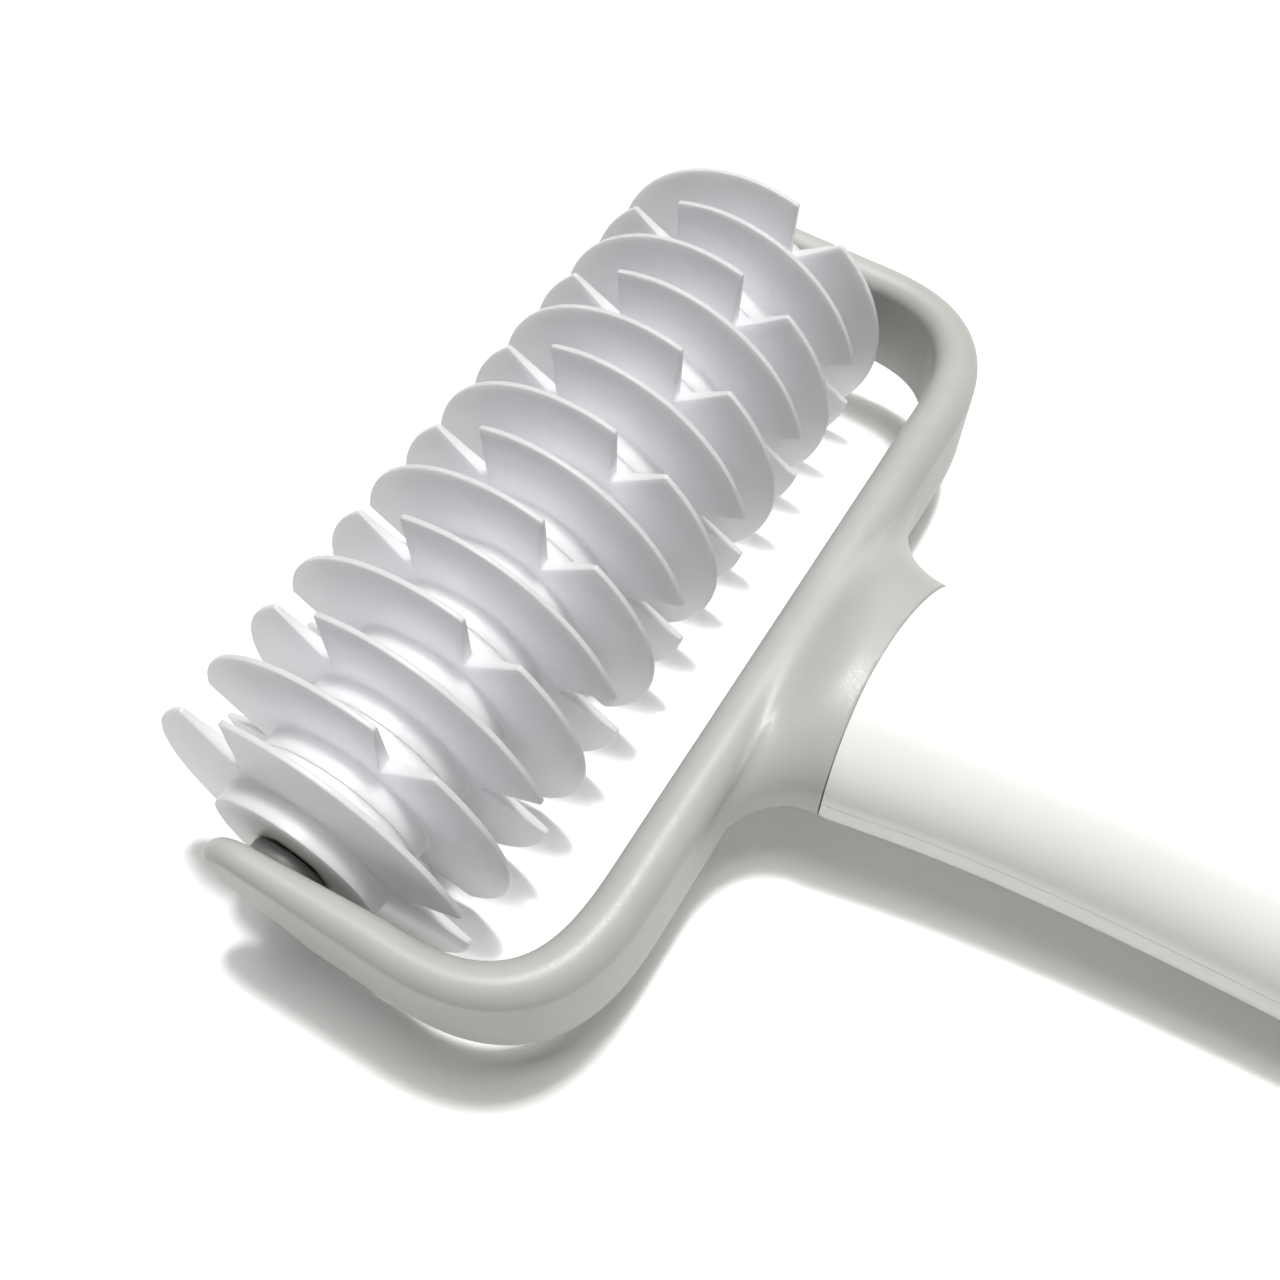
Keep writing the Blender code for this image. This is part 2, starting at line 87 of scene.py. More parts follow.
# Numbers and shapes that several pieces share
def smooth_step(value: np.ndarray | float) -> np.ndarray:
    """Return 0 below 0, 1 above 1 and 3v^2 - 2v^3 between them."""
    value = np.clip(value, 0.0, 1.0)
    return value * value * (3 - 2 * value)


def smooth_max(first: np.ndarray, second: np.ndarray, width: float) -> np.ndarray:
    """Return the larger of two fields, rounded where they differ by less than a width.

    The larger one gains width * h^2 / 4, with h = 1 - |first - second| / width where that is positive.

    Args:
        first: One field.
        second: The other field.
        width: Difference below which the rounding starts, in millimetres.

    Returns:
        The blended field.
    """
    near = np.maximum(width - np.abs(first - second), 0.0) / width
    return np.maximum(first, second) + near * near * width / 4


def smooth_min(first: np.ndarray, second: np.ndarray, width: float) -> np.ndarray:
    """Return the smaller of two fields with a fillet between them; see smooth_max."""
    return -smooth_max(-first, -second, width)


def linear_colour(code: str) -> tuple[float, float, float, float]:
    """Turn an sRGB hex colour to linear light.

    Args:
        code: Six hex digits.

    Returns:
        Linear red, green, blue and an alpha of 1.
    """
    values = [int(code[i : i + 2], 16) / 255 for i in (0, 2, 4)]
    linear = [v / 12.92 if v <= 0.04045 else ((v + 0.055) / 1.055) ** 2.4 for v in values]
    return (*linear, 1.0)


@dataclass(frozen=True)
class ToolAxes:
    """Resting pose: the tool's axes are tilted about X by tilt and moved to origin (metres)."""

    origin: tuple[float, float, float]
    tilt: float

    @classmethod
    def from_record(cls, record: dict[str, Any]) -> "ToolAxes":
        """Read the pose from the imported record: the axle's place, and the flat foot's normal for the tilt.

        Args:
            record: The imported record.

        Returns:
            The tool's resting pose.
        """
        foot = record["mounts"][0]["axis"]
        return cls(tuple(record["behaviour"]["joints"][0]["pos_m"]), math.atan2(-foot[1], -foot[2]))

    def matrix(self) -> Matrix:
        """Return the pose as a 4 x 4 matrix, in metres."""
        return Matrix.Translation(self.origin) @ Matrix.Rotation(-self.tilt, 4, "X")

    def place(self, points: np.ndarray) -> np.ndarray:
        """Turn points in millimetres in the tool's axes to metres in the row's axes."""
        pose = np.array(self.matrix())
        return points * MM @ pose[:3, :3].T + pose[:3, 3]


@dataclass
class Surface:
    """A closed surface: points (n, 3) in millimetres and four-sided faces (m, 4)."""

    points: np.ndarray
    faces: np.ndarray

    @classmethod
    def from_grid(cls, grid: np.ndarray, loop_rows: bool, loop_columns: bool) -> "Surface":
        """Join a grid of points into faces that point outwards.

        Args:
            grid: Points as (rows, columns, 3).
            loop_rows: Whether the last row joins the first.
            loop_columns: Whether the last column joins the first.

        Returns:
            The surface.
        """
        rows, columns = grid.shape[:2]
        row = np.arange(rows if loop_rows else rows - 1)[:, None]
        column = np.arange(columns if loop_columns else columns - 1)[None, :]
        row_2, column_2 = (row + 1) % rows, (column + 1) % columns
        corners = [row * columns + column, row * columns + column_2, row_2 * columns + column_2]
        corners.append(row_2 * columns + column)
        return cls(grid.reshape(-1, 3), np.stack(corners, axis=-1).reshape(-1, 4)).outward()

    def outward(self) -> "Surface":
        """Turn the faces round if the volume that they enclose is negative.

        Returns:
            The surface with its faces pointing outwards.
        """
        a, b, c, d = (self.points[self.faces[:, k]] for k in range(4))
        volume = np.einsum("ij,ij->", a, np.cross(b, c)) + np.einsum("ij,ij->", a, np.cross(c, d))
        return self if volume > 0 else Surface(self.points, self.faces[:, ::-1])

    def __add__(self, other: "Surface") -> "Surface":
        """Put two surfaces side by side in one."""
        faces = np.vstack([self.faces, other.faces + len(self.points)])
        return Surface(np.vstack([self.points, other.points]), faces)


def lathe(profile: Iterable[tuple[float, float]], steps: int, closed: bool) -> Surface:
    """Turn a profile of (radius, height) about Z: x = r cos a, y = r sin a, z = height.

    Args:
        profile: The profile's points.
        steps: Steps round the axis.
        closed: Whether the profile's last point joins its first.

    Returns:
        The turned surface.
    """
    radius, height = np.array(list(profile), float).T
    angle = np.linspace(0, 2 * math.pi, steps, endpoint=False)
    x, y = np.outer(radius, np.cos(angle)), np.outer(radius, np.sin(angle))
    grid = np.stack([x, y, np.repeat(height[:, None], steps, axis=1)], axis=-1)
    return Surface.from_grid(grid, closed, True)


def corner_arc(
    corner: np.ndarray, start: np.ndarray, end: np.ndarray, reach: float, steps: int
) -> np.ndarray:
    """Round a corner between two neighbours with the curve (1-t)^2 A + 2t(1-t) C + t^2 B.

    Args:
        corner: The corner C.
        start: A point on the line that comes in.
        end: A point on the line that goes out.
        reach: Distance of A and B from the corner.
        steps: Number of points.

    Returns:
        The curve's points.
    """
    first = corner + (start - corner) * reach / np.linalg.norm(start - corner)
    last = corner + (end - corner) * reach / np.linalg.norm(end - corner)
    t = np.linspace(0, 1, steps)[:, None]
    return (1 - t) ** 2 * first + 2 * t * (1 - t) * corner + t**2 * last


# Finishes and the workshop that applies them
def add_node(
    material: bpy.types.ID, kind: str, sockets: dict[str | int, Any], **settings: Any
) -> bpy.types.Node:
    """Add a node, set its properties, and give each input socket a value or a link.

    Args:
        material: The material or world whose tree gets the node.
        kind: The node's type name.
        sockets: Input names or numbers, each with a value or an output socket.
        **settings: The node's own properties.

    Returns:
        The node.
    """
    tree = material.node_tree
    node = tree.nodes.new(kind)
    for name, value in settings.items():
        setattr(node, name, value)
    for name, value in sockets.items():
        if isinstance(value, Socket):
            tree.links.new(value, node.inputs[name])
        else:
            node.inputs[name].default_value = value
    return node


@dataclass(frozen=True)
class MouldedPlastic:
    """Injection-moulded plastic.

    Clouds of slightly different tone come from pigment that mixes unevenly as the melt flows, the grain is
    the spark-eroded or polished steel of the mould, and the swell is the shrinkage of the cooling wall.
    Roughness is given as its lowest and highest value, grain and swell as the size and depth of their waves
    in millimetres. The spans are the parts of the noise's range over which tone and roughness change.
    """

    name: str
    colour: str
    cloud: str
    cloud_size: float
    roughness: tuple[float, float]
    grain: tuple[float, float]
    swell: tuple[float, float]
    ior: float = 1.49
    subsurface: float = 0.0
    subsurface_depth: float = 1.0
    # Painted shade: a darker colour within a radius of the axle and a reach of the middle, which stands in
    # for shade on the bosses
    painted_shade_colour: str = "000000"
    painted_shade_radius: float = 0.0
    painted_shade_reach: float = 0.0
    painted_shade_edge: float = 0.3
    cloud_span: tuple[float, float] = (0.35, 0.65)
    grain_span: tuple[float, float] = (0.3, 0.7)

    def build(self) -> bpy.types.Material:
        """Build the node material.

        Returns:
            The material, which reads Object coordinates only.
        """
        material = bpy.data.materials.new(self.name)
        material.use_nodes = True
        shader = material.node_tree.nodes["Principled BSDF"]
        place = add_node(material, "ShaderNodeTexCoord", {}).outputs["Object"]
        noises = []
        for size, detail in ((self.cloud_size, 4.0), (self.grain[0], 2.0), (self.swell[0], 1.0)):
            sockets = {"Vector": place, "Scale": 1 / (size * MM), "Detail": detail}
            noises.append(add_node(material, "ShaderNodeTexNoise", sockets).outputs["Fac"])
        clouds, grain, swell = noises
        low, high = self.cloud_span
        ends = {"Value": clouds, "From Min": low, "From Max": high}
        share = add_node(material, "ShaderNodeMapRange", ends).outputs["Result"]
        tones = {0: share, 6: linear_colour(self.colour), 7: linear_colour(self.cloud)}
        tone = add_node(material, "ShaderNodeMix", tones, data_type="RGBA").outputs[2]
        # Painted shade: darken the bosses round the axle, for the shade between the roller's end and the arm
        if self.painted_shade_radius:
            painted_shade = {0: self.painted_shade_share(material, place), 6: tone, 7: linear_colour(self.painted_shade_colour)}
            tone = add_node(material, "ShaderNodeMix", painted_shade, data_type="RGBA").outputs[2]
        low, high = self.grain_span
        ends = {"Value": grain, "From Min": low, "From Max": high}
        ends |= {"To Min": self.roughness[0], "To Max": self.roughness[1]}
        gloss = add_node(material, "ShaderNodeMapRange", ends).outputs["Result"]
        normal = {}
        for height, depth in ((swell, self.swell[1]), (grain, self.grain[1])):
            sockets = {"Height": height, "Strength": 1.0, "Distance": depth * MM, **normal}
            normal = {"Normal": add_node(material, "ShaderNodeBump", sockets).outputs["Normal"]}
        links = material.node_tree.links
        links.new(tone, shader.inputs["Base Color"])
        links.new(gloss, shader.inputs["Roughness"])
        links.new(normal["Normal"], shader.inputs["Normal"])
        shader.inputs["IOR"].default_value = self.ior
        shader.inputs["Subsurface Weight"].default_value = self.subsurface
        shader.inputs["Subsurface Radius"].default_value = (1.0, 1.0, 1.0)
        shader.inputs["Subsurface Scale"].default_value = self.subsurface_depth * MM
        return material

    def painted_shade_share(self, material: bpy.types.Material, place: Socket) -> Socket:
        """Return the share of the painted shade colour, a darker grey that stands in for the shade on the
        bosses.

        It is 1 within the shade radius of the axle and the shade reach of the middle, 0 outside, soft
        between.

        Args:
            material: The material.
            place: Its Object coordinates.

        Returns:
            The share of the worn colour.
        """
        axle = tuple(FRAME["record"]["behaviour"]["joints"][0]["pos_m"])
        vector = "ShaderNodeVectorMath"
        offset = add_node(material, vector, {0: place, 1: axle}, operation="SUBTRACT").outputs[0]
        shares = []
        for mask, limit in (((0.0, 1.0, 1.0), self.painted_shade_radius), ((1.0, 0.0, 0.0), self.painted_shade_reach)):
            part = add_node(material, vector, {0: offset, 1: mask}, operation="MULTIPLY").outputs[0]
            length = add_node(material, vector, {0: part}, operation="LENGTH").outputs["Value"]
            ends = {"Value": length, "From Min": limit * MM, "From Max": (limit + self.painted_shade_edge) * MM}
            ends |= {"To Min": 1.0, "To Max": 0.0}
            shares.append(add_node(material, "ShaderNodeMapRange", ends).outputs["Result"])
        both = dict(enumerate(shares))
        return add_node(material, "ShaderNodeMath", both, operation="MULTIPLY").outputs[0]


# Discs: polypropylene from a polished mould, milky, so thin rims glow and shade turns faintly violet
DISC_POLYPROPYLENE = MouldedPlastic(
    name="moulded_white_polypropylene",
    colour="FAF8FD",
    cloud="F8F6FB",
    cloud_size=9.0,
    roughness=(0.37, 0.47),
    grain=(0.35, 0.004),
    swell=(6.0, 0.05),
    subsurface=1.0,
    subsurface_depth=2.2,
)
# Frame: ABS from a spark-eroded mould, a fine even grain that breaks highlights up; the bosses that the
# roller
# # turns on are painted dark, painted shade for the shade between the roller's end and the arm
FRAME_ABS = MouldedPlastic(
    name="moulded_grey_abs",
    colour="BFBFBB",
    cloud="B9B9B4",
    cloud_size=12.0,
    roughness=(0.38, 0.5),
    grain=(0.24, 0.008),
    swell=(9.0, 0.06),
    ior=1.54,
    # Painted shade on the pivot bosses: darker grey near the axle
    painted_shade_colour="6E6F6C",
    painted_shade_radius=5.4,
    painted_shade_reach=58.2,
)
# Handle: ABS from a polished mould, smooth and a little glossy
HANDLE_ABS = MouldedPlastic(
    name="polished_white_abs",
    colour="FBFAF7",
    cloud="F8F6F2",
    cloud_size=22.0,
    roughness=(0.288, 0.312),
    grain=(0.4, 0.0002),
    swell=(14.0, 0.06),
    ior=1.54,
)
# Core tube: undyed nylon, cream and dull
CORE_NYLON = MouldedPlastic(
    name="extruded_natural_nylon",
    colour="DDD7C8",
    cloud="D4CDBB",
    cloud_size=8.0,
    roughness=(0.45, 0.55),
    grain=(0.3, 0.006),
    swell=(7.0, 0.04),
    ior=1.53,
)
# Bushes: black acetal, slippery and slightly waxy
BUSH_ACETAL = MouldedPlastic(
    name="moulded_black_acetal",
    colour="2A2A2B",
    cloud="232324",
    cloud_size=5.0,
    roughness=(0.33, 0.43),
    grain=(0.25, 0.005),
    swell=(5.0, 0.03),
    ior=1.48,
)


@dataclass
class Workshop:
    """Turns surfaces into pieces of the scene, in place and dressed."""

    axes: ToolAxes
    materials: dict[str, bpy.types.Material] = field(default_factory=dict)
    merge_distance: float = 0.0005

    def material(self, finish: MouldedPlastic) -> bpy.types.Material:
        """Return a finish's material, built once.

        Args:
            finish: The finish.

        Returns:
            Its material.
        """
        if finish.name not in self.materials:
            self.materials[finish.name] = finish.build()
        return self.materials[finish.name]

    def piece(
        self, name: str, surface: Surface, finish: MouldedPlastic, body: Body, node: str
    ) -> bpy.types.Object:
        """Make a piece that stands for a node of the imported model.

        Args:
            name: The piece's name.
            surface: Its surface in the tool's axes.
            finish: Its finish.
            body: The body it moves with.
            node: The node it stands for.

        Returns:
            The piece's object.
        """
        mesh = bpy.data.meshes.new(name)
        count = len(surface.faces)
        mesh.vertices.add(len(surface.points))
        mesh.vertices.foreach_set("co", self.axes.place(surface.points).astype(np.float32).ravel())
        mesh.loops.add(4 * count)
        mesh.loops.foreach_set("vertex_index", surface.faces.astype(np.int32).ravel())
        mesh.polygons.add(count)
        mesh.polygons.foreach_set("loop_start", np.arange(0, 4 * count, 4, dtype=np.int32))
        mesh.update(calc_edges=True)
        work = bmesh.new()
        work.from_mesh(mesh)
        bmesh.ops.remove_doubles(work, verts=work.verts, dist=self.merge_distance * MM)
        work.to_mesh(mesh)
        work.free()
        mesh.validate()
        mesh.shade_smooth()
        mesh.materials.append(self.material(finish))
        item = bpy.data.objects.new(name, mesh)
        bpy.context.scene.collection.objects.link(item)
        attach(item, body.value)
        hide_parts(node)
        LOG.info("%s: %d points, stands for %s", name, len(mesh.vertices), node)
        return item

    def dress(self, node: str, finish: MouldedPlastic) -> None:
        """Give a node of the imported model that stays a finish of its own.

        Args:
            node: The node's name.
            finish: Its finish.
        """
        item = FRAME["nodes"][node]
        item.data.materials.clear()
        item.data.materials.append(self.material(finish))
        LOG.info("%s: carried over", node)


# Seam between neck and handle
@dataclass(frozen=True)
class Seam:
    """Where the neck meets the handle, for both of them: place, section and slanted arc, in millimetres.

    The section is a superellipse that upright lands part at the height of the roller's axis.
    """

    place: float = 49.6
    half_width: float = 17.0
    half_height: float = 11.5
    fullness: float = 2.2
    upper_land: float = 0.6
    lower_land: float = 1.6
    bulge: float = 1.8
    slant: float = 0.55

    def back(self, across: np.ndarray) -> np.ndarray:
        """Return how far back the seam lies: bulge * (1 - across^2) + slant * across, with across -1 to 1."""
        return self.bulge * (1 - across**2) + self.slant * across


# Frame
@dataclass
class FrameMoulding:
    """The U-shaped frame: two arms, crossbar, neck, bosses, stub pins and tang in one moulding.

    The body is the zero level of a field that is negative inside, blended from simple forms, so that every
    joint between them has a fillet. All lengths are in millimetres.
    """

    band_top: float = 8.5
    band_bottom: float = 8.0
    arm_outer: float = 61.95
    arm_thickness: float = 3.65
    arm_taper: float = 0.078
    tip_reach: float = 8.3
    tip_top_radius: float = 6.4
    tip_bottom_radius: float = 5.0
    tip_bottom: float = 4.2
    foot_sweep_start: float = 6.5
    foot_sweep_length: float = 7.5
    bar_outer: float = 39.9
    bar_thickness: float = 6.6
    corner_extent: float = 24.0
    corner_fullness: float = 2.7
    foot_edge: float = 1.0
    boss_radius: float = 5.1
    boss_face: float = 56.15
    boss_depth: float = 3.4
    pin_radius: float = 1.8
    pin_length: float = 10.0
    seam: Seam = Seam()
    seam_edge: float = 0.3
    neck_flare: float = 12.4
    flare_fade: float = 16.0
    neck_ridge: float = 8.1
    neck_root_bottom: float = 7.6
    neck_ramp_start: float = 38.2
    neck_ramp_slope: float = 0.66
    neck_ramp_lead: float = 2.0
    neck_fall: float = 0.05
    neck_shoulder: float = 1.6
    root_edge: float = 0.9
    neck_fillet: float = 1.5
    spigot_inset: float = 3.0
    spigot_length: float = 2.6
    boss_fillet: float = 0.8
    tang: tuple[float, float, float] = (14.0, 8.0, 100.0)
    tang_root: float = 4.0
    boss_edge: float = 0.6
    pin_edge: float = 1.0
    line_ends: tuple[float, float] = (-20.0, -8.0)
    line_step: float = 0.12
    cell: float = 0.42
    low_margin: tuple[float, float, float] = (1.2, 1.1, 1.0)
    high_margin: tuple[float, float, float] = (1.2, 1.2, 1.0)
    least_slope: float = 0.02
    settle_rounds: int = 4

    def __post_init__(self) -> None:
        """Work out the neck's end and the band's outer line: straight arm, superelliptic corner, crossbar."""
        self.neck_end = self.seam.place - HALF_GAP
        start = self.bar_outer - self.corner_extent
        middle = self.arm_outer - self.corner_extent
        arm = np.arange(self.line_ends[0], start, self.line_step)
        # A quarter turn is about 1.6 radii long
        angle = np.linspace(0, math.pi / 2, int(1.6 * self.corner_extent / self.line_step))
        direction = np.clip(np.stack([np.cos(angle), np.sin(angle)], axis=-1), 0.0, 1.0)
        corner = np.array([middle, start]) + self.corner_extent * direction ** (2 / self.corner_fullness)
        bar = np.arange(middle, self.line_ends[1], -self.line_step)[1:]
        straight_arm = np.stack([np.full_like(arm, self.arm_outer), arm], axis=-1)
        straight_bar = np.stack([bar, np.full_like(bar, self.bar_outer)], axis=-1)
        self.line = np.vstack([straight_arm, corner, straight_bar])
        normal = direction ** (2 - 2 / self.corner_fullness)
        normal /= np.linalg.norm(normal, axis=1, keepdims=True)
        ones, zeros = np.ones_like(arm), np.zeros_like(arm)
        bar_normal = np.stack([np.zeros_like(bar), np.ones_like(bar)], axis=-1)
        self.normal = np.vstack([np.stack([ones, zeros], axis=-1), normal, bar_normal])
        root = self.arm_thickness + self.arm_taper * start
        grown = root + (self.bar_thickness - root) * smooth_step(2 * angle / math.pi)
        along_arm = self.arm_thickness + self.arm_taper * arm
        self.thickness = np.concatenate([along_arm, grown, np.full_like(bar, self.bar_thickness)])

    def nearest(self, x: np.ndarray, y: np.ndarray) -> np.ndarray:
        """Return the number of the outer line's nearest point for each plan position.

        Args:
            x: Distances from the middle.
            y: Distances from the roller's axis.

        Returns:
            Indices into the outer line.
        """
        chunk_size = 4000
        flat = np.stack([np.abs(x).ravel(), y.ravel()], axis=-1).astype(np.float32)
        line = self.line.astype(np.float32)
        found = [
            np.argmin((chunk**2).sum(1)[:, None] - 2 * chunk @ line.T + (line**2).sum(1), axis=1)
            for chunk in np.array_split(flat, max(1, len(flat) // chunk_size))
        ]
        return np.concatenate(found).reshape(x.shape)

    def band(self, x: np.ndarray, y: np.ndarray, z: np.ndarray, index: np.ndarray) -> np.ndarray:
        """Return the band's field.

        In plan, u is the distance from the band's middle line: depth inside the outer line less half the
        thickness. In side view, rise is the distance outside the top edge and the rounded tip. Top and tip
        are half-round: sqrt(max(rise + half, 0)^2 + u^2) - half. The flat foot cuts that off below.

        Args:
            x: Positions across.
            y: Positions along.
            z: Heights.
            index: Nearest points of the outer line.

        Returns:
            The field, broadcast over the positions.
        """
        line, normal = self.line[index], self.normal[index]
        depth = (line[..., 0] - np.abs(x)) * normal[..., 0] + (line[..., 1] - y) * normal[..., 1]
        half = self.thickness[index] / 2
        across = depth - half
        back_top = self.tip_top_radius - self.tip_reach - y
        up = z - self.band_top + self.tip_top_radius
        rise = np.hypot(np.maximum(back_top, 0), np.maximum(up, 0)) + np.minimum(np.maximum(back_top, up), 0)
        rise = rise - self.tip_top_radius
        back_low = self.tip_bottom_radius - self.tip_reach - y
        down = np.maximum(self.tip_bottom_radius - self.tip_bottom - z, 0)
        rounded = np.hypot(np.maximum(back_low, 0), down) - self.tip_bottom_radius
        rise = np.maximum(rise, np.where(back_low > 0, rounded, -self.tip_bottom_radius))
        crowned = np.hypot(np.maximum(rise + half, 0), across) - half
        sweep = smooth_step((self.foot_sweep_start - y) / self.foot_sweep_length)
        foot = self.band_bottom + (self.tip_bottom - self.band_bottom) * sweep
        return smooth_max(crowned, -foot - z, self.foot_edge)

    def neck(self, x: np.ndarray, y: np.ndarray, z: np.ndarray) -> np.ndarray:
        """Return the neck's field.

        Its section is a superellipse with upright lands: s = (|x/w|^n + |z/h|^n)^(1/n) - 1, divided by the
        length of its slope to give a distance. The half width w flares along a quarter ellipse to the
        crossbar, less and less with the height. The top climbs a straight ramp from the crossbar's ridge,
        rounds over and falls gently to the seam, and the underside follows a smooth step. The end is cut to
        the seam's slanted arc, and a spigot goes on into the handle.

        Args:
            x: Positions across.
            y: Positions along.
            z: Heights.

        Returns:
            The field.
        """
        seam = self.seam
        length = self.neck_end - self.bar_outer
        share = smooth_step((y - self.bar_outer) / length)
        reach = np.clip((self.neck_end - y) / length, 0.0, 1.0)
        flare = self.neck_flare * (1 - smooth_step(z / self.flare_fade))
        width = seam.half_width + flare * (1 - np.sqrt(1 - reach**2))
        climb = np.maximum(y - self.neck_ramp_start, -self.neck_ramp_lead)
        ramp = self.neck_ridge + self.neck_ramp_slope * climb
        dome = seam.half_height + self.neck_fall * (self.neck_end - seam.bulge - y)
        upper = smooth_min(ramp, dome, self.neck_shoulder) - seam.upper_land
        lower = self.neck_root_bottom + (seam.half_height - self.neck_root_bottom) * share - seam.lower_land
        height = np.where(z > 0, upper, lower)
        above = np.maximum(np.where(z > 0, z - seam.upper_land, -z - seam.lower_land), 0.0)
        n = seam.fullness
        side, top = np.abs(x) / width + TINY, above / height + TINY
        level = (side**n + top**n) ** (1 / n)
        slope = np.hypot(side ** (n - 1) / width, top ** (n - 1) / height) * level ** (1 - n)
        section = (level - 1) / np.maximum(slope, self.least_slope)
        back = seam.back(np.clip(x / width, -1.0, 1.0))
        root = self.bar_outer - self.bar_thickness / 2
        body = smooth_max(section, y - self.neck_end + back * share, self.seam_edge)
        spigot = np.maximum(section + self.spigot_inset, y - self.neck_end - self.spigot_length)
        return smooth_max(np.minimum(body, spigot), root - y, self.root_edge)

    def field(self, x: np.ndarray, y: np.ndarray, z: np.ndarray, index: np.ndarray) -> np.ndarray:
        """Return the whole moulding's field: band, neck, bosses and stub pins with fillets between them.

        Args:
            x: Positions across.
            y: Positions along.
            z: Heights.
            index: Nearest points of the outer line.

        Returns:
            The field.
        """
        band = self.band(x, y, z, index)
        body = smooth_min(band, self.neck(x, y, z), self.neck_fillet)
        radius, side = np.hypot(y, z), np.abs(x)
        boss = smooth_max(radius - self.boss_radius, self.boss_face - side, self.boss_edge)
        boss = np.maximum(boss, side - self.boss_face - self.boss_depth)
        pin = smooth_max(radius - self.pin_radius, self.boss_face - self.pin_length - side, self.pin_edge)
        pin = np.maximum(pin, side - self.boss_face - self.boss_depth)
        return smooth_min(smooth_min(body, boss, self.boss_fillet), pin, self.boss_fillet / 2)

    def skin(self) -> Surface:
        """Skin the field's zero level.

        The field is sampled on a grid of cells. A cell whose corners differ in sign gets one point, the mean
        of the zero crossings on its edges, and an edge that crosses zero joins the points of its four cells.
        Then the points settle on the zero level.

        Returns:
            The closed surface.
        """
        top = self.seam.half_height
        low = np.array([-self.arm_outer, -self.tip_reach, -top]) - self.low_margin
        high = np.array([self.arm_outer, self.neck_end + self.spigot_length, top]) + self.high_margin
        axes = [np.arange(low[k], high[k] + self.cell, self.cell) for k in range(3)]
        plan_x, plan_y = np.meshgrid(axes[0], axes[1], indexing="ij")
        index = self.nearest(plan_x, plan_y)
        value = self.field(plan_x[..., None], plan_y[..., None], axes[2][None, None, :], index[..., None])
        inside = value < 0
        cells = tuple(n - 1 for n in value.shape)
        corners = [(i, j, k) for i in (0, 1) for j in (0, 1) for k in (0, 1)]

        def shifted(array: np.ndarray, offset: tuple[int, int, int]) -> np.ndarray:
            """Return the array's corner of each cell."""
            return array[tuple(slice(o, o + n) for o, n in zip(offset, cells))]

        count = sum(shifted(inside, corner).astype(np.int8) for corner in corners)
        place = np.argwhere((count > 0) & (count < 8))
        number = np.full(cells, -1, dtype=np.int64)
        number[tuple(place.T)] = np.arange(len(place))
        total, crossings = np.zeros((len(place), 3)), np.zeros(len(place))
        for corner in corners:
            for axis in range(3):
                if corner[axis]:
                    continue
                a = place + np.array(corner)
                b = a + np.eye(3, dtype=np.int64)[axis]
                f_a, f_b = value[tuple(a.T)], value[tuple(b.T)]
                hit = (f_a < 0) != (f_b < 0)
                step = np.where(hit, f_a / np.where(hit, f_a - f_b, 1.0), 0.0)
                total += np.where(hit[:, None], a + step[:, None] * (b - a), 0.0)
                crossings += hit
        points = low + self.cell * total / crossings[:, None]
        faces = []
        for axis in range(3):
            one, two = [k for k in range(3) if k != axis]
            start = [slice(1, -1)] * 3
            start[axis] = slice(0, -1)
            end = list(start)
            end[axis] = slice(1, None)
            change = inside[tuple(start)] != inside[tuple(end)]
            edge = np.argwhere(change) + np.array([int(k != axis) for k in range(3)])
            leaving = inside[tuple(edge.T)]
            around = []
            for step_one, step_two in ((-1, -1), (0, -1), (0, 0), (-1, 0)):
                cell = edge.copy()
                cell[:, one] += step_one
                cell[:, two] += step_two
                around.append(number[tuple(cell.T)])
            quad = np.stack(around, axis=-1)
            turn = leaving if axis != 1 else ~leaving
            faces.append(np.where(turn[:, None], quad, quad[:, ::-1]))
        for _ in range(self.settle_rounds):
            points = self.settle(points)
        return Surface(points, np.vstack(faces)).outward()

    def settle(self, points: np.ndarray) -> np.ndarray:
        """Move points toward the field's zero level: p - f g / |g|^2, with the slope g from differences.

        Args:
            points: Points near the zero level.

        Returns:
            The moved points.
        """
        # Difference for the slope, least squared slope and longest move
        small, least, most = 0.01, 0.05, 0.3
        index = self.nearest(points[:, 0], points[:, 1])
        here = self.field(*points.T, index)
        slope = []
        for axis in range(3):
            ahead, behind = points.copy(), points.copy()
            ahead[:, axis] += small
            behind[:, axis] -= small
            slope.append((self.field(*ahead.T, index) - self.field(*behind.T, index)) / (2 * small))
        slope = np.stack(slope, axis=-1)
        move = (here / np.maximum((slope**2).sum(1), least))[:, None] * slope
        length = np.linalg.norm(move, axis=1, keepdims=True)
        return points - move * np.minimum(1.0, most / np.maximum(length, TINY))

    def tang_surface(self) -> Surface:
        """Return the tang: a bar of superelliptic section, closed by points on its axis at both ends.

        Returns:
            The closed surface, whose root is inside the neck.
        """
        width, height, length = self.tang
        steps, power, bevel, end_share = 48, 0.25, 0.5, 0.96
        angle = np.linspace(0, 2 * math.pi, steps, endpoint=False)
        x = width / 2 * np.sign(np.cos(angle)) * np.abs(np.cos(angle)) ** power
        z = height / 2 * np.sign(np.sin(angle)) * np.abs(np.sin(angle)) ** power
        start, end = self.neck_end - self.tang_root, self.neck_end + length
        size = np.array([0.0, end_share, 1.0, 1.0, end_share, 0.0])
        along = np.array([start, start, start + bevel, end - bevel, end, end])
        y = np.repeat(along[:, None], steps, axis=1)
        grid = np.stack([np.outer(size, x), y, np.outer(size, z)], axis=-1)
        return Surface.from_grid(grid, False, True)

    def build(self, shop: Workshop) -> bpy.types.Object:
        """Build the frame's piece."""
        surface = self.skin() + self.tang_surface()
        return shop.piece("frame_moulding", surface, FRAME_ABS, Body.FRAME, "frame")


